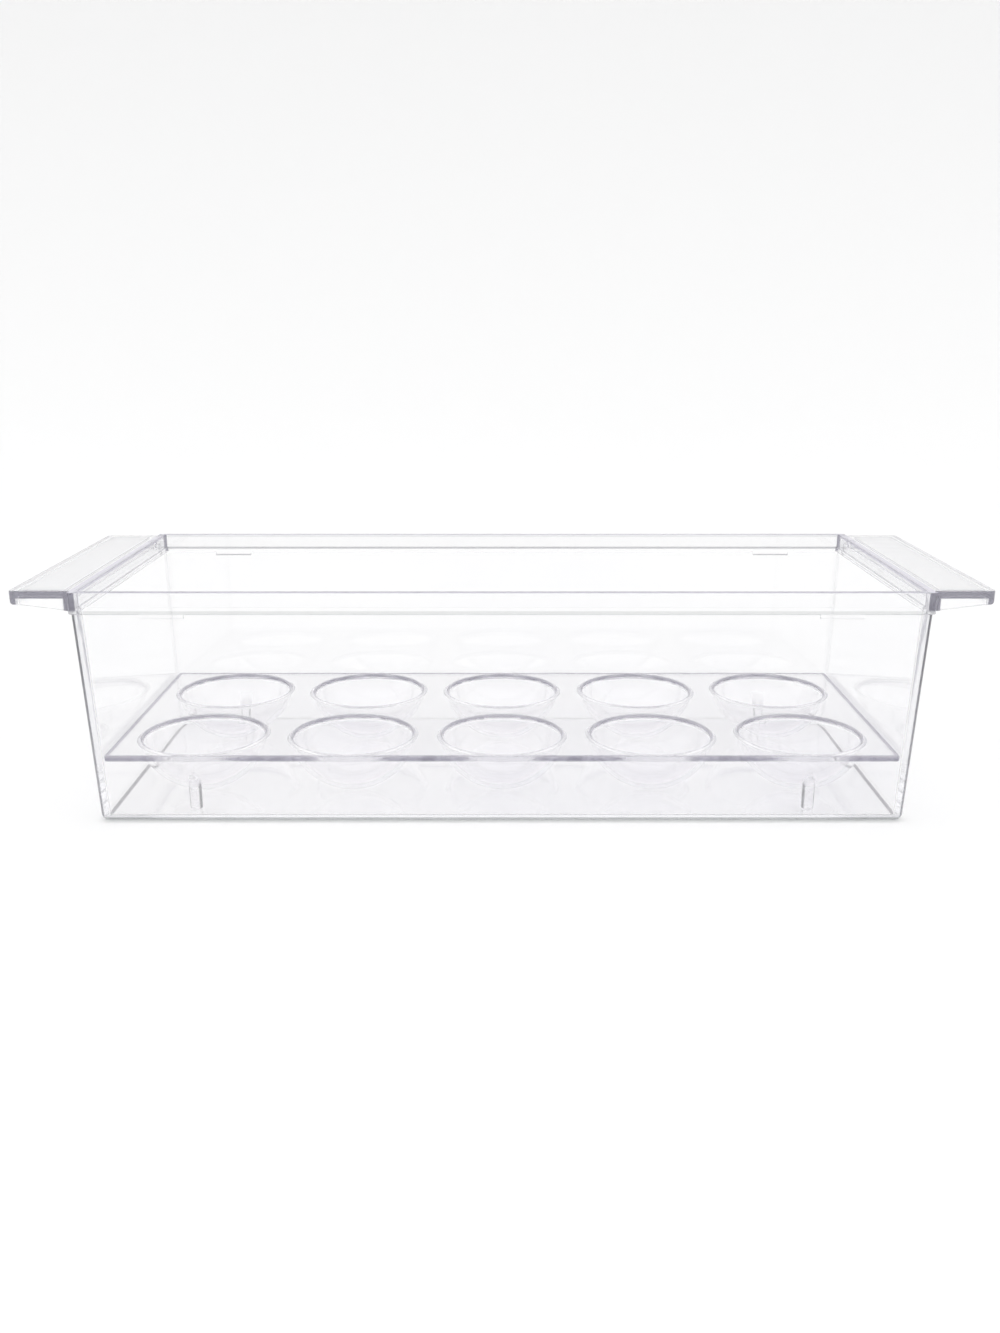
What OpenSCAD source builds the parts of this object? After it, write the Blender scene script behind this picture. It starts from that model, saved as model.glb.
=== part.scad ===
// Two-row egg keeper: a clear moulded bin with a handle at each end, and a
// clear cup tray that stands on four short feet inside it.
// X runs along the bin, from handle to handle. The front faces -Y, +Z is up.
// The origin is the middle of the underside.

/* [Bin] */
// Overall length over both handles
overall_l = 278; // [272:0.5:290]
// Length of the rim band, without the handles
rim_l = 243.2; // [243:0.2:245]
// Depth of the rim band, front to back
rim_w = 97; // [96.5:0.25:99]
// Height of the bin
bin_h = 70; // [60:0.5:90]
// Height of the thicker band round the rim, measured on the outside
band_h = 6.2; // [5.6:0.1:7]
// How deep the lid's seat lies below the rim, measured on the inside
seat_depth = 4.4; // [4:0.1:4.8]
// Thickness of the rim band
band_t = 2.4; // [2.2:0.1:2.6]
// How far the band stands out from the wall below it
band_step = 0.5; // [0.3:0.1:0.7]
// Width of the lid's seat at the two ends and the back
seat_w = 0.5; // [0.3:0.1:0.8]
// How far each outer wall leans in from the band down to the base
lean = 2.4; // [1:0.1:2.5]
// Wall thickness at the floor
wall_base = 1.9; // [1.7:0.1:2]
// Floor thickness
floor_t = 1.6; // [1.4:0.1:2.2]

/* [Handles] */
// Depth of a handle, front to back
handle_w = 91; // [86:0.5:94]
// Thickness of the flat top of a handle
handle_top = 1.9; // [1.5:0.1:2.2]
// Width of the lip round a handle
handle_lip = 2; // [1.6:0.1:2.4]
// Thickness added to the band where a handle joins it
root_t = 1.9; // [1:0.1:2.5]
// Depth of the lip at its outer edge
lip_drop = 4; // [3.6:0.1:4.6]
// Corner radius of a handle, seen from above
handle_r = 1.5; // [1:0.5:6]

/* [Rim details] */
// Diameter of the two sockets for the pins of a lid
socket_d = 2.6; // [2.2:0.1:2.8]
// Depth of the sockets, from the inner face of the band
socket_depth = 2.4; // [1.5:0.1:3]
// Height of the sockets below the rim
socket_down = 1.8; // [1.7:0.1:2.3]
// Distance of the sockets from the back of the rim
socket_in = 14; // [10:0.5:20]
// Length of the small tabs under the band
tab_l = 12.5; // [8:0.5:16]
// Height of the small tabs
tab_h = 1.4; // [1:0.1:2]
// Distance of the tabs from the middle of the bin
tab_x = 95.5; // [85:0.5:100]

/* [Cup tray] */
// Height of the tray's top face above the underside of the bin
tray_z = 20.2; // [19.6:0.1:22]
// Thickness of the tray's plate
tray_t = 1.8; // [1.5:0.1:2]
// Length of the tray
tray_l = 233.8; // [232:0.2:234]
// Depth of the tray, front to back
tray_w = 87; // [86.4:0.1:87.4]
// Columns of cups along the tray
cup_cols = 5; // [3:1:5]
// Distance from cup to cup, both ways
cup_pitch = 46; // [45:0.1:46]
// Outer radius of a cup at the plate
cup_r = 20; // [19:0.1:20]
// Outer depth of a cup below the tray's top face
cup_depth = 17; // [15:0.1:17.5]
// Wall thickness of a cup
cup_wall = 1.5; // [1.2:0.1:1.8]
// Diameter of the feet
foot_d = 3.8; // [3:0.1:4.2]
// Distance of a foot from the middle of its end cup, towards the long edge
foot_out = 15; // [13:0.1:17.2]

/* [Hidden] */

corner_r = 1.3;        // outer vertical corners of the bin
base_r = 2.4;          // rounding between the outer walls and the underside
inner_r = 1.0;         // inner vertical corners
cavity_r = 1.5;        // rounding round the floor inside
lip_r = 1.5;           // rounding of a handle's lower outer edge
space_r = 1.2;         // inner corners of the finger space
foot_gap = 0.1;        // clearance under the feet
eps = 0.01;
hair = 0.05;           // the seat's width on the front wall, which has none to speak of
arc_fn = 32;           // fineness of the rounded corners of the drafted walls
band_z = bin_h - band_h;                 // lower edge of the band, outside
seat_z = bin_h - seat_depth;             // the lid's seat, inside
wall_l = rim_l - 2 * band_step;          // outer length just under the band
wall_w = rim_w - 2 * band_step;          // outer depth just under the band
mouth_l = rim_l - 2 * band_t;            // inner length of the band
mouth_w = rim_w - 2 * band_t;            // inner depth of the band
foot_z = floor_t + foot_gap;
// a cup is a piece of a ball whose middle lies above the tray
ball_r = (cup_r * cup_r + cup_depth * cup_depth) / (2 * cup_depth);
ball_z = tray_z - cup_depth + ball_r;
cup_y = cup_pitch / 2;
cup_x = cup_pitch * (cup_cols - 1) / 2;  // middle of the end cups
clear_plastic = [0.90, 0.90, 0.95, 0.35];
tray_plastic = [0.86, 0.85, 0.93, 0.40];

// Plan of a rectangle with round corners, middle at the origin
module round_rect(l, w, r) {
    square([l - 2 * r, w], center = true);
    square([l, w - 2 * r], center = true);
    for (x = [-1, 1], y = [-1, 1])
        translate([x * (l / 2 - r), y * (w / 2 - r)]) circle(r = r, $fn = 48);
}

// Block whose four walls lean out from l0 x w0 at z0 to l1 x w1 at z1, with
// vertical corners of radius r and a bottom edge rounded by f. Its top is
// moved by dy along Y.
module leaning_block(l0, w0, z0, l1, w1, z1, r, f, dy = 0) {
    steps = 5;
    hull() {
        for (x = [-1, 1], y = [-1, 1]) {
            for (k = [0 : steps]) {
                d = f * (1 - sin(90 * k / steps));  // how far this level lies inside the wall
                q = max(r - d, 0.3);
                translate([x * (l0 / 2 - d - q), y * (w0 / 2 - d - q), z0 + f * (1 - cos(90 * k / steps))])
                    cylinder(r = q, h = eps, $fn = arc_fn);
            }
            translate([x * (l1 / 2 - r), y * (w1 / 2 - r) + dy, z1 - eps])
                cylinder(r = r, h = eps, $fn = arc_fn);
        }
    }
}

// Side view of a handle's solid, drawn in X and Z: flat on top, with the
// lower edge falling from the lip towards the bin
module handle_side() {
    x0 = rim_l / 2 - band_t + 0.4;
    x1 = overall_l / 2;
    difference() {
        union() {
            polygon([[x0, band_z], [x1 - lip_r, bin_h - lip_drop],
                     [x1 - lip_r, bin_h], [x0, bin_h]]);
            translate([x1 - lip_r - eps, bin_h - lip_drop + lip_r])
                square([lip_r + eps, lip_drop - lip_r]);
            translate([x1 - lip_r, bin_h - lip_drop + lip_r]) circle(r = lip_r, $fn = 48);
        }
        translate([x1 - lip_r, bin_h]) square([2 * lip_r, lip_r]);
    }
}

// Handle at the +X end: an upside-down tray, open below for the fingers
module handle() {
    lx = overall_l;
    difference() {
        intersection() {
            translate([0, handle_w / 2, 0]) rotate([90, 0, 0])
                linear_extrude(height = handle_w) handle_side();
            translate([0, 0, band_z - 1])
                linear_extrude(height = band_h + 2) round_rect(lx, handle_w, handle_r);
        }
        // finger space
        intersection() {
            translate([0, 0, band_z - 2])
                linear_extrude(height = band_h + 2 - handle_top)
                    round_rect(lx - 2 * handle_lip, handle_w - 2 * handle_lip, space_r);
            translate([rim_l / 2 + root_t, -rim_w, band_z - 3]) cube([overall_l, 2 * rim_w, band_h + 6]);
        }
    }
}

// The bin: one moulding of leaning walls, floor, rim band, handles and tabs
module bin() {
    color(clear_plastic)
    difference() {
        union() {
            // leaning walls and floor
            leaning_block(wall_l - 2 * lean, wall_w - 2 * lean, 0,
                          wall_l, wall_w, seat_z, corner_r, base_r);
            // rim band
            translate([0, 0, band_z])
                linear_extrude(height = band_h) round_rect(rim_l, rim_w, corner_r);
            handle();
            mirror([1, 0, 0]) handle();
            // small tabs that hang from the band on both long walls
            for (x = [-1, 1], y = [-1, 1])
                translate([x * tab_x - tab_l / 2, y * (rim_w / 2 - (band_step + 0.8) / 2) - (band_step + 0.8) / 2,
                           band_z - tab_h])
                    cube([tab_l, band_step + 0.8, tab_h + 0.5]);
        }
        // the space inside, up to the seat: the seat runs along the ends and
        // the back, and the front wall has none
        leaning_block(wall_l - 2 * lean - 2 * wall_base, wall_w - 2 * lean - 2 * wall_base, floor_t,
                      mouth_l - 2 * seat_w, mouth_w - seat_w - hair, seat_z + 0.005, inner_r, cavity_r,
                      (hair - seat_w) / 2);
        // the wider mouth above the lid's seat
        translate([0, 0, seat_z])
            linear_extrude(height = seat_depth + 1) round_rect(mouth_l, mouth_w, 0.8);
        // blind sockets for the pins of a lid, one in each end of the band
        for (x = [-1, 1])
            translate([x * (mouth_l / 2 + socket_depth / 2 - 0.5), rim_w / 2 - socket_in, bin_h - socket_down])
                rotate([0, 90, 0]) cylinder(d = socket_d, h = socket_depth + 1, center = true, $fn = 64);
    }
}

// The cup tray: a flat plate with two rows of round-bottomed cups and four feet
module egg_tray() {
    color(tray_plastic)
    difference() {
        union() {
            translate([0, 0, tray_z - tray_t])
                linear_extrude(height = tray_t) round_rect(tray_l, tray_w, 1.2);
            for (i = [0 : cup_cols - 1], y = [-1, 1])
                translate([i * cup_pitch - cup_x, y * cup_y, 0]) cup_outside();
            // feet, from the floor of the bin up into the end cups
            for (x = [-1, 1], y = [-1, 1])
                translate([x * cup_x, y * (cup_y + foot_out), foot_z])
                    cylinder(d = foot_d, h = tray_z - tray_t / 2 - foot_z, $fn = 48);
        }
        for (i = [0 : cup_cols - 1], y = [-1, 1])
            translate([i * cup_pitch - cup_x, y * cup_y, ball_z]) sphere(r = ball_r - cup_wall, $fn = 96);
    }
}

// Outside of one cup, up to the tray's top face
module cup_outside() {
    difference() {
        translate([0, 0, ball_z]) sphere(r = ball_r, $fn = 96);
        translate([-2 * cup_r, -2 * cup_r, tray_z - 0.2]) cube([4 * cup_r, 4 * cup_r, 4 * cup_r]);
    }
}

bin();
egg_tray();
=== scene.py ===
import bpy, bmesh, math
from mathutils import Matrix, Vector


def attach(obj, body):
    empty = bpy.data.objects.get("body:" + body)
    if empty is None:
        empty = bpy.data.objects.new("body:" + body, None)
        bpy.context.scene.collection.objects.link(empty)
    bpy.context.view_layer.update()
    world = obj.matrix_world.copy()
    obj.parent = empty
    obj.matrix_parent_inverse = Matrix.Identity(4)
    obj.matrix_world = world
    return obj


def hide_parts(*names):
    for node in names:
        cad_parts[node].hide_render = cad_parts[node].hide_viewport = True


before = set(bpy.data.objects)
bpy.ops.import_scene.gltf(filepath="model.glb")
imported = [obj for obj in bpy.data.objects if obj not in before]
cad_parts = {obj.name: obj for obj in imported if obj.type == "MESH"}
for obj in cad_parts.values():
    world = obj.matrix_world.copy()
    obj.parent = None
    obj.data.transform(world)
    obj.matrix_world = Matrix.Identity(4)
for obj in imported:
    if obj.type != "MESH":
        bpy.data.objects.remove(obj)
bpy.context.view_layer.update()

MM = 0.001
scene = bpy.context.scene

# ---------------------------------------------------------------- sizes, mm
HL, HW, H = 121.6, 48.5, 70.0        # half length and half depth of the rim band, height
BAND_Z, SEAT_Z = 63.8, 65.6          # lower edge of the band outside, lid's seat inside
BAND_T, SEAT_W, WALL_T = 2.4, 0.5, 1.9
LEAN_TOP, LEAN_BASE = 0.57, 2.9      # how far the outer wall lies inside the band, at its top and at the base
HANDLE_X, HANDLE_HW = 139.0, 45.5    # outer edge and half depth of a handle
PLATE_T, LIP, ROOT_X = 1.9, 2.0, 123.5
TRAY_Z, TRAY_T = 20.2, 1.8
TRAY_HL, TRAY_HW = 116.9, 43.5
PITCH, CUP_R, CUP_D, CUP_WALL = 46.0, 20.0, 17.0, 1.5
BALL_R = (CUP_R ** 2 + CUP_D ** 2) / (2 * CUP_D)
BALL_Z = TRAY_Z - CUP_D + BALL_R
FLOOR_Z, FOOT_Z = 1.6, 1.7


# ---------------------------------------------------------------- mesh tools
def add_object(name, bm):
    me = bpy.data.meshes.new(name)
    bmesh.ops.recalc_face_normals(bm, faces=bm.faces)
    bm.to_mesh(me)
    bm.free()
    ob = bpy.data.objects.new(name, me)
    scene.collection.objects.link(ob)
    return ob


def round_corners(points, radii, steps=6):
    """A 2D polyline whose inner corners are rounded. The end points stay."""
    out = [points[0]]
    for i in range(1, len(points) - 1):
        p, a, b, r = Vector(points[i]), Vector(points[i - 1]), Vector(points[i + 1]), radii[i]
        if r <= 0:
            out.append(tuple(p))
            continue
        u, v = (a - p).normalized(), (b - p).normalized()
        ang = u.angle(v)
        cut = r / math.tan(ang / 2)
        c = p + (u + v).normalized() * (r / math.sin(ang / 2))
        s, e = p + u * cut - c, p + v * cut - c
        turn = math.pi - ang
        sign = 1 if s.x * e.y - s.y * e.x > 0 else -1
        for k in range(steps + 1):
            t = sign * turn * k / steps
            out.append((c.x + s.x * math.cos(t) - s.y * math.sin(t),
                        c.y + s.x * math.sin(t) + s.y * math.cos(t)))
    out.append(points[-1])
    return out


def ring(bm, hl, front, back, r, z, n=10):
    """One rounded rectangle of vertices at height z, all in mm: half length,
    and how far it reaches to the front and to the back."""
    r = max(r, 0.02)
    vs = []
    for q, (sx, y) in enumerate([(1, back - r), (-1, back - r), (-1, r - front), (1, r - front)]):
        for k in range(n + 1):
            a = math.radians(90 * q + 90 * k / n)
            vs.append(bm.verts.new(((sx * (hl - r) + r * math.cos(a)) * MM,
                                    (y + r * math.sin(a)) * MM, z * MM)))
    return vs


def skin(bm, rings, cap_first=True, cap_last=True):
    for a, b in zip(rings, rings[1:]):
        for i in range(len(a)):
            j = (i + 1) % len(a)
            bm.faces.new((a[i], a[j], b[j], b[i]))
    if cap_first:
        bm.faces.new(rings[0][::-1])
    if cap_last:
        bm.faces.new(rings[-1])


def loft(name, stations, n=10):
    """stations: (half length, half depth, corner radius, z), or with the reach to the
    front and to the back in place of the half depth."""
    bm = bmesh.new()
    rows = [s if len(s) == 5 else (s[0], s[1], s[1], s[2], s[3]) for s in stations]
    skin(bm, [ring(bm, *s, n=n) for s in rows])
    return add_object(name, bm)


def revolve(name, profile, segs=96, at=(0, 0)):
    """Solid of revolution about a vertical line through at. The profile's ends lie on the axis."""
    bm = bmesh.new()
    first = bm.verts.new((at[0] * MM, at[1] * MM, profile[0][1] * MM))
    last = bm.verts.new((at[0] * MM, at[1] * MM, profile[-1][1] * MM))
    rows = []
    for r, z in profile[1:-1]:
        rows.append([bm.verts.new(((at[0] + r * math.cos(2 * math.pi * k / segs)) * MM,
                                   (at[1] + r * math.sin(2 * math.pi * k / segs)) * MM, z * MM))
                     for k in range(segs)])
    for a, b in zip(rows, rows[1:]):
        for i in range(segs):
            j = (i + 1) % segs
            bm.faces.new((a[i], a[j], b[j], b[i]))
    for i in range(segs):
        j = (i + 1) % segs
        bm.faces.new((first, rows[0][j], rows[0][i]))
        bm.faces.new((last, rows[-1][i], rows[-1][j]))
    return add_object(name, bm)


def extrude_xz(name, outline, y0, y1):
    """A closed outline in X and Z, in mm, made solid from y0 to y1."""
    bm = bmesh.new()
    a = [bm.verts.new((x * MM, y0 * MM, z * MM)) for x, z in outline]
    b = [bm.verts.new((x * MM, y1 * MM, z * MM)) for x, z in outline]
    skin(bm, [a, b])
    return add_object(name, bm)


def combine(target, others, how):
    """Boolean of target with every object in others, which are used up."""
    for o in others:
        m = target.modifiers.new("b", "BOOLEAN")
        m.operation, m.solver, m.object = how, "MANIFOLD", o
        dg = bpy.context.evaluated_depsgraph_get()
        me = bpy.data.meshes.new_from_object(target.evaluated_get(dg), depsgraph=dg)
        target.modifiers.clear()
        old, target.data = target.data, me
        bpy.data.meshes.remove(old)
        bpy.data.objects.remove(o)
    return target


# ---------------------------------------------------------------- the bin
def bin_shell():
    """Walls, floor and rim band as one closed skin: up the outside, over the rim, down the
    inside. The lid's seat runs along the ends and the back; the front wall has none."""
    seat_in = BAND_T + SEAT_W
    floor_in = LEAN_BASE + WALL_T
    outside = [(LEAN_BASE + 2.6, 0.0), (LEAN_BASE, 0.0), (LEAN_TOP, BAND_Z), (0.0, BAND_Z), (0.0, H), (1.2, H)]
    inside = [(1.2, H), (BAND_T, H), (BAND_T, SEAT_Z), (seat_in, SEAT_Z), (floor_in, FLOOR_Z), (floor_in + 2.6, FLOOR_Z)]
    st = []
    for o, z in round_corners(outside, [0, 2.4, 0.28, 0.22, 0.16, 0], steps=8):
        r = 1.0 - 0.4 * o if z > BAND_Z - 0.01 else 1.3 - max(0.0, o - LEAN_BASE)
        st.append((HL - o, HW - o, HW - o, max(r, 0.3), z))
    for o, z in round_corners(inside, [0, 0.16, 0.2, 0.2, 0.7, 0], steps=8)[1:]:
        k = min(1.0, max(0.0, (SEAT_Z - z) / (SEAT_Z - FLOOR_Z)))
        side_line = seat_in + (floor_in - seat_in) * k
        front_line = BAND_T + 0.05 + (floor_in - BAND_T - 0.05) * k
        if z > SEAT_Z - 0.001:
            front = o if o <= BAND_T else BAND_T + 0.05 * (o - BAND_T) / SEAT_W
            r = 0.8 + max(0.0, BAND_T - o)
        else:
            front = front_line + (o - side_line if o > side_line else 0.1 * (o - side_line))
            r = 1.0 - max(0.0, o - side_line)
        st.append((HL - o, HW - front, HW - o, max(r, 0.3), z))
    return loft("bin", st, n=16)


def handle_blank(side):
    """Outer form of a handle: plan with round corners, flat top, sloping underside with a rounded lip."""
    x1, hw, rc, soft = HANDLE_X, HANDLE_HW, 1.5, 0.35
    st = [(x1, hw, rc, 58.0), (x1, hw, rc, H - soft)]
    for k in range(1, 7):
        t = math.radians(90 * k / 6)
        d = soft * (1 - math.cos(t))
        st.append((x1 - d, hw - d, rc - d, H - soft + soft * math.sin(t)))
    plan = loft("plan", st, n=16)
    x0 = HL - BAND_T + 0.4
    lr = 1.5
    zb = H - 4.0
    outline = [(x0, BAND_Z)]
    # along the sloping underside, round the lip, up past the top
    c = (x1 - lr, zb + lr)
    for k in range(0, 10):
        t = math.radians(-97 + 97 * k / 9)
        outline.append((c[0] + lr * math.cos(t), c[1] + lr * math.sin(t)))
    outline += [(x1 + 2, zb + lr), (x1 + 2, H + 2), (x0, H + 2)]
    outline = [(side * x, z) for x, z in outline]
    side_view = extrude_xz("side", outline, -hw - 2, hw + 2)
    return combine(plan, [side_view], "INTERSECT")


def finger_space(side):
    """The hollow under a handle, open below."""
    x0, x1 = ROOT_X, HANDLE_X - LIP
    cx, hl, hw = (x0 + x1) / 2, (x1 - x0) / 2, HANDLE_HW - LIP
    top = H - PLATE_T
    soft = 0.8
    st = [(hl, hw, 1.3, 55.0), (hl, hw, 1.3, top - soft)]
    for k in range(1, 9):
        t = math.radians(90 * k / 8)
        d = soft * (1 - math.cos(t))
        st.append((hl - d, hw - d, 1.3 - d, top - soft + soft * math.sin(t)))
    ob = loft("space", st, n=12)
    for v in ob.data.vertices:
        v.co.x += side * cx * MM
    return ob


def tab(x, side):
    """Small tab under the band on a long wall, with a softened foot."""
    hl, hw, low = 6.25, 0.6, BAND_Z - 1.4
    st = []
    for k in range(0, 6):
        t = math.radians(90 * k / 5)
        d = 0.2 * (1 - math.sin(t))
        st.append((hl - d, hw - d, 0.3 - d, low + 0.2 * (1 - math.cos(t))))
    st.append((hl, hw, 0.3, BAND_Z + 1.0))
    ob = loft("tab", st, n=6)
    for v in ob.data.vertices:
        v.co.x += x * MM
        v.co.y += side * (HW - 0.1 - hw) * MM
    return ob


def socket(side):
    """Blind round hole in the inner face of an end band, with a softened mouth."""
    bm = bmesh.new()
    n = 48
    rows = []
    x0 = HL - BAND_T
    for x, r in ((x0 - 1.0, 1.45), (x0, 1.45), (x0 + 0.15, 1.3), (x0 + 2.2, 1.3), (x0 + 2.4, 1.1)):
        rows.append([bm.verts.new((side * x * MM, (34.5 + r * math.cos(2 * math.pi * k / n)) * MM,
                                   (68.2 + r * math.sin(2 * math.pi * k / n)) * MM)) for k in range(n)])
    skin(bm, rows)
    return add_object("socket", bm)


bin_ob = bin_shell()
blanks = []
for s in (-1, 1):
    blanks.append(combine(handle_blank(s), [finger_space(s)], "DIFFERENCE"))
combine(bin_ob, blanks, "UNION")
combine(bin_ob, [tab(x, s) for x in (-95.5, 95.5) for s in (-1, 1)], "UNION")
combine(bin_ob, [socket(s) for s in (-1, 1)], "DIFFERENCE")


# ---------------------------------------------------------------- the tray
def tray_plate():
    st = []
    t0, t1, f = TRAY_Z - TRAY_T, TRAY_Z, 0.35
    for k in range(0, 6):
        t = math.radians(90 * k / 5)
        d = f * (1 - math.sin(t))
        st.append((TRAY_HL - d, TRAY_HW - d, 1.2 - d, t0 + f * (1 - math.cos(t))))
    for k in range(0, 6):
        t = math.radians(90 * k / 5)
        d = f * (1 - math.cos(t))
        st.append((TRAY_HL - d, TRAY_HW - d, 1.2 - d, t1 - f + f * math.sin(t)))
    return loft("egg_tray", st, n=8)


def cup_outer():
    """Outside of a cup as (radius, z), with a small fillet under the plate."""
    under = TRAY_Z - TRAY_T
    fr = 0.8
    # fillet circle touches the ball from outside and the plate's underside from below
    cz = under - fr
    cr = math.sqrt((BALL_R + fr) ** 2 - (BALL_Z - cz) ** 2)
    touch = math.atan2(BALL_Z - cz, cr)               # angle of the touching point below the ball's middle
    prof = [(0.0, BALL_Z - BALL_R)]
    n = 20
    for k in range(1, n + 1):
        t = (math.pi / 2 - touch) * k / n
        prof.append((BALL_R * math.sin(t), BALL_Z - BALL_R * math.cos(t)))
    a0, a1 = math.pi - touch, math.pi / 2 + 0.12
    for k in range(1, 6):
        t = a0 + (a1 - a0) * k / 5
        prof.append((cr + fr * math.cos(t), cz + fr * math.sin(t)))
    prof += [(prof[-1][0] + 0.5, under + 0.12), (prof[-1][0] + 0.5, under + 0.8), (0.0, under + 0.8)]
    return prof


def cup_inner():
    """Inside of a cup as (radius, z), with a soft lip at the plate's top."""
    r = BALL_R - CUP_WALL
    fr = 0.9
    cz = TRAY_Z - fr
    # lip circle lies inside the cup's wall and touches the ball from outside
    cr = math.sqrt((r + fr) ** 2 - (BALL_Z - cz) ** 2)
    touch = math.atan2(BALL_Z - cz, cr)
    prof = [(0.0, BALL_Z - r)]
    n = 20
    for k in range(1, n + 1):
        t = (math.pi / 2 - touch) * k / n
        prof.append((r * math.sin(t), BALL_Z - r * math.cos(t)))
    a0, a1 = math.pi - touch, math.pi / 2 + 0.15
    for k in range(1, 8):
        t = a0 + (a1 - a0) * k / 7
        prof.append((cr + fr * math.cos(t), cz + fr * math.sin(t)))
    x, z = prof[-1]
    prof += [(x + 0.6, z + 0.10), (x + 0.6, TRAY_Z + 2), (0.0, TRAY_Z + 2)]
    return prof


def foot():
    return [(0.0, FOOT_Z), (1.5, FOOT_Z), (1.68, FOOT_Z + 0.06), (1.8, FOOT_Z + 0.3), (1.9, 19.2), (0.0, 19.2)]


tray_ob = tray_plate()
cups = [((i - 2) * PITCH, y * PITCH / 2) for i in range(5) for y in (-1, 1)]
combine(tray_ob, [revolve("c", cup_outer(), 96, c) for c in cups], "UNION")
combine(tray_ob, [revolve("f", foot(), 32, (x * 2 * PITCH, y * (PITCH / 2 + 15.0))) for x in (-1, 1) for y in (-1, 1)],
        "UNION")
combine(tray_ob, [revolve("d", cup_inner(), 96, c) for c in cups], "DIFFERENCE")


def tidy(ob):
    """Merges slivers left by the joins and shades the mesh by face-weighted normals."""
    bm = bmesh.new()
    bm.from_mesh(ob.data)
    bmesh.ops.remove_doubles(bm, verts=bm.verts, dist=1e-6)
    bmesh.ops.dissolve_degenerate(bm, dist=1e-7, edges=bm.edges)
    bmesh.ops.recalc_face_normals(bm, faces=bm.faces)
    bad = sum(1 for e in bm.edges if len(e.link_faces) != 2)
    vol = bm.calc_volume()
    for f in bm.faces:
        f.smooth = True
    for e in bm.edges:
        if len(e.link_faces) == 2:
            e.smooth = e.calc_face_angle(0.0) < math.radians(38)
    bm.to_mesh(ob.data)
    bm.free()
    m = ob.modifiers.new("weighted", "WEIGHTED_NORMAL")
    m.mode, m.weight, m.keep_sharp = "FACE_AREA", 100, True
    print("mesh", ob.name, len(ob.data.polygons), "open edges", bad, "volume cm3", round(vol * 1e6, 2))


tidy(bin_ob)
tidy(tray_ob)


# ---------------------------------------------------------------- materials
class Nodes:
    """Small helper that wires a node tree by expressions."""

    def __init__(self, tree):
        self.t = tree

    def new(self, kind):
        return self.t.nodes.new(kind)

    def put(self, value, socket):
        if hasattr(value, "is_output"):
            self.t.links.new(value, socket)
        else:
            socket.default_value = value

    def math(self, op, a, b=None):
        n = self.new("ShaderNodeMath")
        n.operation = op
        self.put(a, n.inputs[0])
        if b is not None:
            self.put(b, n.inputs[1])
        return n.outputs[0]

    def over(self, v, lo, hi):
        """0 below lo, 1 above hi, smooth between."""
        n = self.new("ShaderNodeMapRange")
        n.interpolation_type = "SMOOTHSTEP"
        self.put(v, n.inputs["Value"])
        n.inputs["From Min"].default_value = lo
        n.inputs["From Max"].default_value = hi
        return n.outputs["Result"]

    def under(self, v, lo, hi):
        return self.math("SUBTRACT", 1.0, self.over(v, lo, hi))

    def both(self, *vs):
        out = vs[0]
        for v in vs[1:]:
            out = self.math("MULTIPLY", out, v)
        return out

    def either(self, *vs):
        out = vs[0]
        for v in vs[1:]:
            out = self.math("MAXIMUM", out, v)
        return out

    def mix(self, fac, a, b):
        n = self.new("ShaderNodeMix")
        n.data_type = "RGBA"
        self.put(fac, n.inputs[0])
        self.put(a, n.inputs[6])
        self.put(b, n.inputs[7])
        return n.outputs[2]


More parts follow.
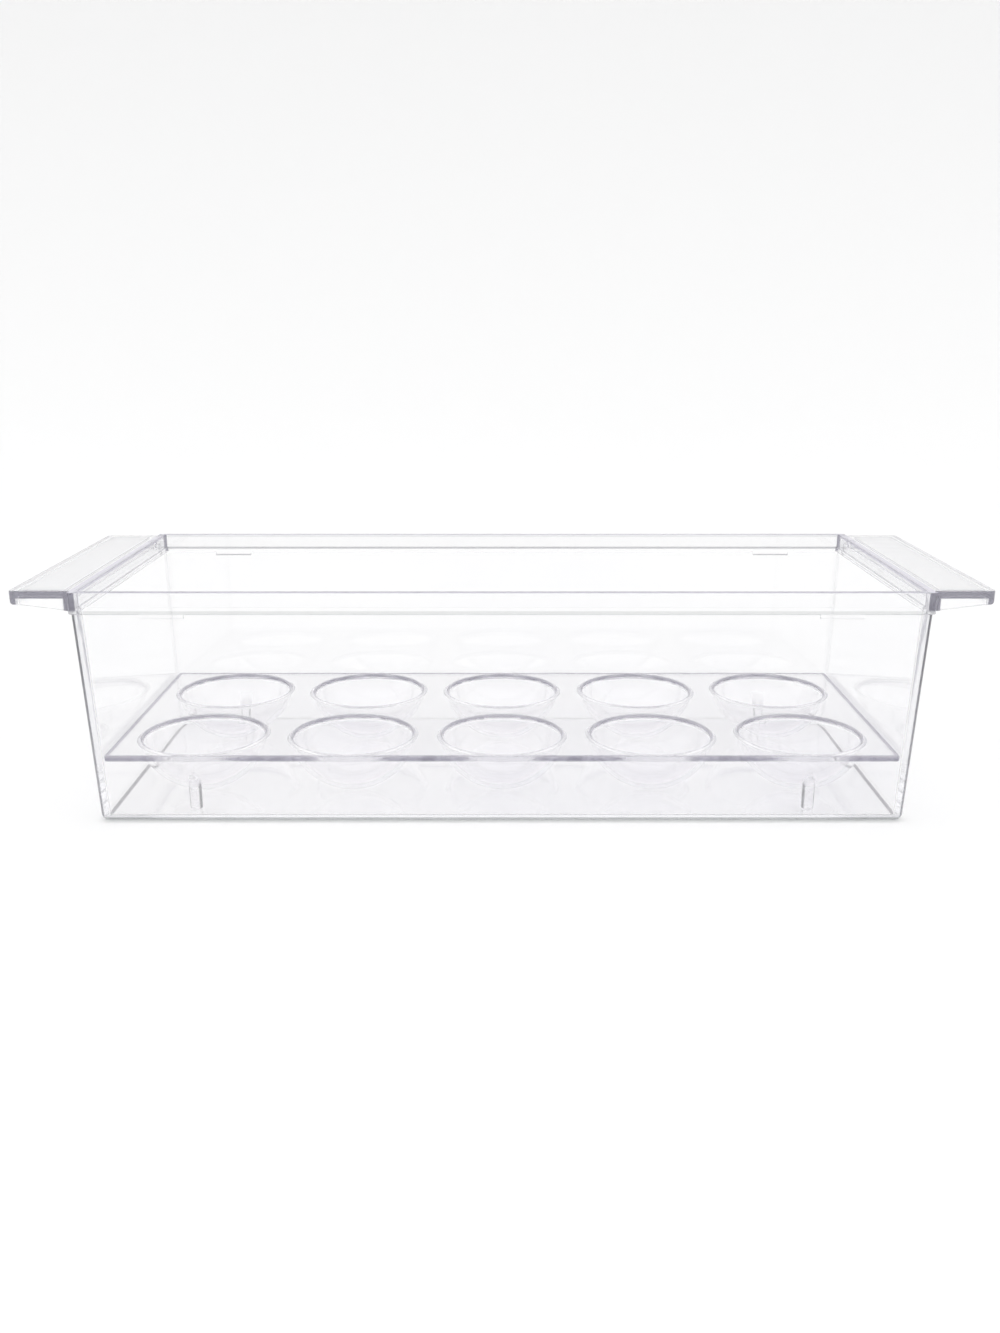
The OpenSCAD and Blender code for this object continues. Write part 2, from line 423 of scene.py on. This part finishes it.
def clear_plastic(name, absorb, density, rough, body, painted_shade_marks, haze):
    """Clear glossy polystyrene: smooth skin with faint flow marks, and a body colour
    that only shows where the light runs a long way inside it. Painted shade: a deeper
    violet-grey is painted into the base colour at the thin ends and edges of its plates,
    for the shade seen where one looks into them.
    The first function passed in gives (mask, colour) pairs of that painted shade from (k, x, y, z, nx, ny, nz, front),
    and haze the same way (mask, roughness) where the moulding is less polished."""
    m = bpy.data.materials.new(name)
    m.use_nodes = True
    nt = m.node_tree
    for n in list(nt.nodes):
        nt.nodes.remove(n)
    k = Nodes(nt)
    out = k.new("ShaderNodeOutputMaterial")
    bs = k.new("ShaderNodeBsdfPrincipled")
    bs.inputs["Metallic"].default_value = 0.0
    bs.inputs["IOR"].default_value = 1.585
    bs.inputs["Transmission Weight"].default_value = 1.0
    co = k.new("ShaderNodeTexCoord")
    pos = k.new("ShaderNodeSeparateXYZ")
    nt.links.new(co.outputs["Object"], pos.inputs[0])
    nor = k.new("ShaderNodeSeparateXYZ")
    nt.links.new(co.outputs["Normal"], nor.inputs[0])
    x, y, z = [k.math("MULTIPLY", pos.outputs[i], 1000.0) for i in range(3)]
    ax, ay = k.math("ABSOLUTE", x), k.math("ABSOLUTE", y)
    nx, ny = k.math("ABSOLUTE", nor.outputs[0]), k.math("ABSOLUTE", nor.outputs[1])
    nz = k.math("MULTIPLY", nor.outputs[2], 1.0)
    # slight unevenness of the body colour
    cloud = k.new("ShaderNodeTexNoise")
    cloud.inputs["Scale"].default_value = 14.0
    cloud.inputs["Detail"].default_value = 2.0
    nt.links.new(co.outputs["Object"], cloud.inputs["Vector"])
    colour = k.mix(k.over(cloud.outputs["Fac"], 0.3, 0.7), (*body[0], 1.0), (*body[1], 1.0))
    front = k.under(y, -1.0, 1.0)
    # painted shade: darker colours mixed into the base colour at the masked ends and edges
    for mask, shade_colour in painted_shade_marks(k, ax, ay, z, nx, ny, nz, front):
        colour = k.mix(mask, colour, (*shade_colour, 1.0))
    nt.links.new(colour, bs.inputs["Base Color"])
    # roughness: polished skin with slightly hazier patches
    patch = k.new("ShaderNodeTexNoise")
    patch.inputs["Scale"].default_value = 55.0
    patch.inputs["Detail"].default_value = 3.0
    ramp = k.new("ShaderNodeMapRange")
    ramp.inputs["From Min"].default_value = 0.35
    ramp.inputs["From Max"].default_value = 0.75
    ramp.inputs["To Min"].default_value = rough
    ramp.inputs["To Max"].default_value = rough + 0.025
    nt.links.new(co.outputs["Object"], patch.inputs["Vector"])
    nt.links.new(patch.outputs["Fac"], ramp.inputs["Value"])
    gloss = ramp.outputs["Result"]
    for mask, value in haze(k, ax, ay, z, nx, ny, nz):
        gloss = k.math("MAXIMUM", gloss, k.math("MULTIPLY", mask, value))
    nt.links.new(gloss, bs.inputs["Roughness"])
    # bump: long, low flow waves of the moulding and a very fine grain
    wave = k.new("ShaderNodeTexNoise")
    wave.inputs["Scale"].default_value = 28.0
    wave.inputs["Detail"].default_value = 2.0
    wave.inputs["Distortion"].default_value = 0.6
    fine = k.new("ShaderNodeTexNoise")
    fine.inputs["Scale"].default_value = 420.0
    fine.inputs["Detail"].default_value = 2.0
    b1 = k.new("ShaderNodeBump")
    b1.inputs["Strength"].default_value = 0.35
    b1.inputs["Distance"].default_value = 0.00012
    b2 = k.new("ShaderNodeBump")
    b2.inputs["Strength"].default_value = 0.12
    b2.inputs["Distance"].default_value = 0.00002
    nt.links.new(co.outputs["Object"], wave.inputs["Vector"])
    nt.links.new(co.outputs["Object"], fine.inputs["Vector"])
    nt.links.new(wave.outputs["Fac"], b1.inputs["Height"])
    nt.links.new(fine.outputs["Fac"], b2.inputs["Height"])
    nt.links.new(b1.outputs["Normal"], b2.inputs["Normal"])
    nt.links.new(b2.outputs["Normal"], bs.inputs["Normal"])
    vol = k.new("ShaderNodeVolumeAbsorption")
    vol.inputs["Color"].default_value = (*absorb, 1)
    vol.inputs["Density"].default_value = density
    nt.links.new(bs.outputs["BSDF"], out.inputs["Surface"])
    nt.links.new(vol.outputs["Volume"], out.inputs["Volume"])
    return m


def bin_painted_shade(k, x, y, z, nx, ny, nz, front):
    rear = k.math("SUBTRACT", 1.0, front)
    # painted shade: the ends of a handle, its plate, its lip and its root, dark where they are seen end on
    end = k.over(ny, 0.15, 0.3)
    frame_of_end = k.either(k.over(z, 67.65, 67.8), k.over(x, 136.8, 137.0))
    handle = k.both(k.over(x, 123.3, 123.4), end, frame_of_end)
    root = k.both(k.over(x, 119.25, 119.35), k.under(x, 123.45, 123.6), k.over(z, 63.75, 63.85), k.over(y, 45.3, 45.4),
                  k.over(k.either(nx, ny), 0.3, 0.5))
    yield handle, (0.15, 0.145, 0.185)
    yield root, (0.11, 0.105, 0.14)
    low = k.both(k.over(x, 123.4, 123.6), k.over(y, 43.3, 43.45), k.under(nz, -0.6, -0.4), k.under(z, 67.0, 67.5))
    yield low, (0.22, 0.21, 0.25)
    # painted shade: the handle's top is a touch greyer than the walls, and most so over its lip
    top = k.both(k.over(x, 121.65, 121.75), k.over(z, 69.7, 69.85), k.over(nz, 0.5, 0.8))
    lip = k.either(k.over(x, 136.0, 137.2), k.over(y, 42.6, 43.6))
    yield top, (0.915, 0.915, 0.925)
    yield k.both(top, lip), (0.76, 0.76, 0.78)
    # painted shade: lines along the inner face of the end bands and their top edge
    band = k.both(k.over(x, 118.9, 119.1), k.under(x, 119.4, 119.5), k.over(z, 65.7, 65.8), k.over(nx, 0.5, 0.7))
    yield band, (0.84, 0.84, 0.86)
    brim = k.both(k.over(x, 118.9, 119.1), k.under(x, 119.8, 120.0), k.over(z, 69.2, 69.4), k.under(y, 45.0, 45.5))
    # painted shade on the rim: lines on the band's top face, its lower step, the seat along the back, the foot of the
    # band at the front and the inner face of the back band
    rim = k.both(k.over(z, 69.75, 69.88), k.over(nz, 0.5, 0.8), k.under(x, 121.55, 121.65))
    yield rim, (0.50, 0.47, 0.60)
    yield brim, (0.42, 0.40, 0.50)
    step = k.both(k.over(z, 63.5, 63.6), k.under(z, 64.0, 64.1), k.under(nz, -0.5, -0.2))
    yield step, (0.40, 0.41, 0.43)
    seat = k.both(k.over(z, 65.4, 65.5), k.under(z, 65.8, 65.9), k.over(nz, 0.3, 0.6), k.over(y, 45.3, 45.4))
    yield seat, (0.15, 0.15, 0.17)
    seat_edge = k.both(k.over(z, 65.0, 65.1), k.under(z, 65.8, 65.9), k.over(ny, 0.6, 0.8), k.over(y, 45.3, 45.4),
                       k.under(y, 46.4, 46.6), rear)
    yield seat_edge, (0.47, 0.47, 0.49)
    foot_of_band = k.both(k.over(z, 63.7, 63.8), k.under(z, 64.6, 65.0), k.over(ny, 0.6, 0.8), k.over(y, 48.2, 48.3), front)
    yield foot_of_band, (0.66, 0.67, 0.67)
    rear_band = k.both(k.over(z, 65.7, 65.9), k.over(ny, 0.6, 0.8), k.under(y, 46.4, 46.6), rear, k.under(x, 118.9, 119.1))
    yield rear_band, (0.92, 0.92, 0.925)
    rear_brim = k.both(k.over(z, 69.2, 69.3), k.over(ny, 0.6, 0.8), k.under(y, 46.4, 46.6), rear)
    yield rear_brim, (0.70, 0.70, 0.72)
    # painted shade under and on the tabs, dark at the back ones and faint at the front ones
    tab_foot = k.both(k.over(z, 62.2, 62.3), k.under(z, 62.6, 62.7), k.under(nz, -0.4, -0.1))
    yield tab_foot, (0.45, 0.45, 0.47)
    tab_face = k.both(k.over(z, 62.2, 62.35), k.under(z, 62.9, 63.0), k.over(x, 89.0, 89.2), k.under(x, 101.8, 102.0),
                      k.over(y, 48.05, 48.15))
    yield k.both(tab_face, front), (0.85, 0.85, 0.86)
    yield k.both(tab_face, rear), (0.30, 0.30, 0.32)
    # painted shade: dark lines down the upright corners of the leaning walls, darkest at the front and faint at the
    # back, along the rounding under the base and at the floor's ends
    lean = k.math("MULTIPLY", z, (LEAN_BASE - LEAN_TOP) / BAND_Z)
    in_x = k.math("SUBTRACT", k.math("ADD", lean, HL - LEAN_BASE), x)
    in_y = k.math("SUBTRACT", k.math("ADD", lean, HW - LEAN_BASE), y)
    edge = k.both(k.under(in_x, 0.95, 1.2), k.under(in_y, 1.0, 1.3), k.over(ny, 0.12, 0.25), k.under(z, 63.6, 63.75),
                  k.over(nz, -0.5, -0.3))
    yield k.both(edge, front), (0.16, 0.16, 0.175)
    yield k.both(edge, front, k.over(z, 12.0, 55.0)), (0.045, 0.045, 0.052)
    yield k.both(edge, rear), (0.92, 0.92, 0.93)
    base = k.both(k.under(z, 1.2, 1.5), k.under(nz, -0.35, -0.2), k.over(nz, -0.998, -0.985))
    yield base, (0.29, 0.305, 0.30)
    floor_end = k.both(k.under(z, 2.3, 2.5), k.over(z, 1.5, 1.55), k.over(nz, 0.25, 0.4), k.over(x, 115.7, 116.0),
                       k.under(y, 43.2, 43.6))
    yield floor_end, (0.36, 0.34, 0.37)


def bin_haze(k, x, y, z, nx, ny, nz):
    # the underside of the handles' plates is less polished
    under = k.both(k.over(x, 123.3, 123.6), k.under(nz, -0.1, -0.02), k.over(z, 67.0, 67.2))
    yield under, 0.30
    hollow = k.both(k.over(x, 123.4, 123.6), k.under(x, 137.1, 137.3), k.under(y, 43.55, 43.7), k.under(z, 68.2, 68.3))
    yield hollow, 0.30
    # rounding under the base
    base = k.both(k.under(z, 2.0, 2.3), k.under(nz, -0.25, -0.1), k.over(nz, -0.995, -0.97))
    yield base, 0.30


def tray_painted_shade(k, x, y, z, nx, ny, nz, front):
    # painted shade: darkest in the middle of the plate's thickness, and a strip of its top face beside the ends and
    # along the back
    rim = k.both(k.over(z, 18.3, 19.0), k.under(z, 19.6, 20.2), k.either(k.over(x, 116.4, 116.6), k.over(y, 43.0, 43.2)),
                 k.over(k.either(nx, ny), 0.4, 0.6))
    yield rim, (0.20, 0.19, 0.265)
    # painted shade: dark lines down the outer sides of the feet
    dx = k.math("ABSOLUTE", k.math("SUBTRACT", x, 2 * PITCH))
    dy = k.math("ABSOLUTE", k.math("SUBTRACT", y, PITCH / 2 + 15.0))
    leg = k.both(k.under(dx, 2.0, 2.2), k.under(dy, 2.0, 2.2), k.under(z, 9.0, 10.5), k.over(nx, 0.62, 0.85))
    yield leg, (0.12, 0.12, 0.13)
    strip = k.both(k.over(z, 20.0, 20.1), k.either(k.over(x, 115.3, 115.6), k.over(y, 42.5, 42.8)))
    yield strip, (0.27, 0.25, 0.32)
    back = k.both(k.over(z, 20.0, 20.1), k.over(y, 41.6, 41.9), k.math("SUBTRACT", 1.0, front))
    yield back, (0.27, 0.25, 0.32)
    # the painted shade along the front edge is paler where a cup comes close behind it
    close = k.both(k.under(k.math("PINGPONG", x, PITCH / 2), 6.0, 13.0), k.over(y, 42.5, 42.8), front)
    yield k.both(k.either(rim, strip), close), (0.72, 0.71, 0.75)
    # painted shade on the lips of the cups
    lip = k.both(k.over(z, 19.2, 19.35), k.over(nz, 0.08, 0.16), k.under(nz, 0.96, 0.99), k.under(y, 43.0, 43.1))
    yield lip, (0.36, 0.35, 0.40)


def tray_haze(k, x, y, z, nx, ny, nz):
    # lips of the cups
    yield k.both(k.over(z, 19.2, 19.35), k.over(nz, 0.22, 0.3), k.under(nz, 0.96, 0.99), k.under(y, 43.0, 43.1)), 0.28
    # the feet and the bit of cup above them
    dx = k.math("ABSOLUTE", k.math("SUBTRACT", x, 92.0))
    dy = k.math("ABSOLUTE", k.math("SUBTRACT", y, 38.0))
    yield k.both(k.under(dx, 2.1, 2.5), k.under(dy, 2.1, 2.5), k.under(z, 14.0, 14.6), k.over(nz, 0.2, 0.4)), 0.35


mat_bin = clear_plastic("clear_polystyrene", (0.42, 0.41, 0.52), 1.6, 0.010,
                        ((0.990, 0.990, 0.991), (0.978, 0.978, 0.984)), bin_painted_shade, bin_haze)
mat_tray = clear_plastic("clear_polystyrene_tray", (0.42, 0.39, 0.50), 1.8, 0.012,
                         ((0.982, 0.978, 0.986), (0.974, 0.970, 0.981)), tray_painted_shade, tray_haze)
for ob, mat, node, body, slot in ((bin_ob, mat_bin, "bin", "bin", "clear_polystyrene"),
                                  (tray_ob, mat_tray, "egg_tray", "tray", "clear_polystyrene_tray")):
    ob.data.materials.clear()
    ob.data.materials.append(mat)
    for p in ob.data.polygons:
        p.material_index = 0
    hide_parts(node)
    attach(ob, body)
bin_ob.name = "bin_moulding"
tray_ob.name = "egg_tray_moulding"


# ---------------------------------------------------------------- stage
def stage_material():
    m = bpy.data.materials.new("pale_floor")
    m.use_nodes = True
    bs = m.node_tree.nodes["Principled BSDF"]
    bs.inputs["Base Color"].default_value = (0.94, 0.94, 0.94, 1)
    bs.inputs["Roughness"].default_value = 0.6
    bs.inputs["Specular IOR Level"].default_value = 0.2
    return m


def sweep():
    """Pale floor that curves up into a backdrop far behind the object."""
    bm = bmesh.new()
    pts = [(-9.0, 0.0), (1.2, 0.0)]
    for k in range(1, 25):
        t = math.radians(90 * k / 24)
        pts.append((1.2 + 1.4 * math.sin(t), 1.4 * (1 - math.cos(t))))
    pts.append((2.6, 4.0))
    rows = [[bm.verts.new((x, y, z - 0.00005)) for x in (-12.0, 12.0)] for y, z in pts]
    for a, b in zip(rows, rows[1:]):
        bm.faces.new((a[0], a[1], b[1], b[0]))
    ob = add_object("pale_floor", bm)
    for p in ob.data.polygons:
        p.use_smooth = True
    ob.data.materials.append(stage_material())
    return ob


floor_ob = sweep()

# ---------------------------------------------------------------- light
world = bpy.data.worlds.new("studio")
scene.world = world
world.use_nodes = True
wn = world.node_tree
for n in list(wn.nodes):
    wn.nodes.remove(n)
wo = wn.nodes.new("ShaderNodeOutputWorld")
bg = wn.nodes.new("ShaderNodeBackground")
tc = wn.nodes.new("ShaderNodeTexCoord")
sep = wn.nodes.new("ShaderNodeSeparateXYZ")
k = Nodes(wn)
wn.links.new(tc.outputs["Generated"], sep.inputs["Vector"])
# a light room: bright overhead and behind, and dimmer on the near side for the light it
# sends into the plastic, while the room itself looks white all round
near = k.over(k.math("MULTIPLY", sep.outputs["Y"], -1.0), 0.25, 0.85)
high = k.over(sep.outputs["Z"], 0.15, 0.75)
seen = wn.nodes.new("ShaderNodeLightPath").outputs["Is Camera Ray"]
dim = k.both(near, k.math("SUBTRACT", 1.0, high), k.math("SUBTRACT", 1.0, seen))
lum = k.math("ADD", k.math("MULTIPLY", high, 0.22), k.math("SUBTRACT", 1.04, k.math("MULTIPLY", dim, 0.55)))
wn.links.new(lum, bg.inputs["Strength"])
bg.inputs["Color"].default_value = (1.0, 1.0, 1.0, 1.0)
wn.links.new(bg.outputs["Background"], wo.inputs["Surface"])

# ---------------------------------------------------------------- camera
cam_data = bpy.data.cameras.new("camera")
cam = bpy.data.objects.new("camera", cam_data)
scene.collection.objects.link(cam)
cam_data.sensor_width = 36.0
cam_data.lens = 36.0 * 1206.23 / 1333.0
cam_data.shift_x = -1.94 / 1333.0
cam_data.clip_start = 0.02
cam_data.clip_end = 50.0
cam.location = (0.0, -0.0485 - 0.32826, 0.14306)
cam.rotation_euler = (math.radians(90 - 16.03), 0, 0)
scene.camera = cam

scene.view_settings.view_transform = "Standard"
scene.view_settings.look = "None"
scene.view_settings.exposure = 0.0
scene.view_settings.gamma = 1.0
cy = scene.cycles
cy.max_bounces = 200
cy.transmission_bounces = 200
cy.glossy_bounces = 200
cy.diffuse_bounces = 4
cy.transparent_max_bounces = 16
cy.volume_bounces = 0
cy.caustics_reflective = True
cy.caustics_refractive = True
cy.blur_glossy = 0.0
cy.sample_clamp_indirect = 0.0
cy.use_adaptive_sampling = False
cy.use_denoising = True
cy.seed = 7
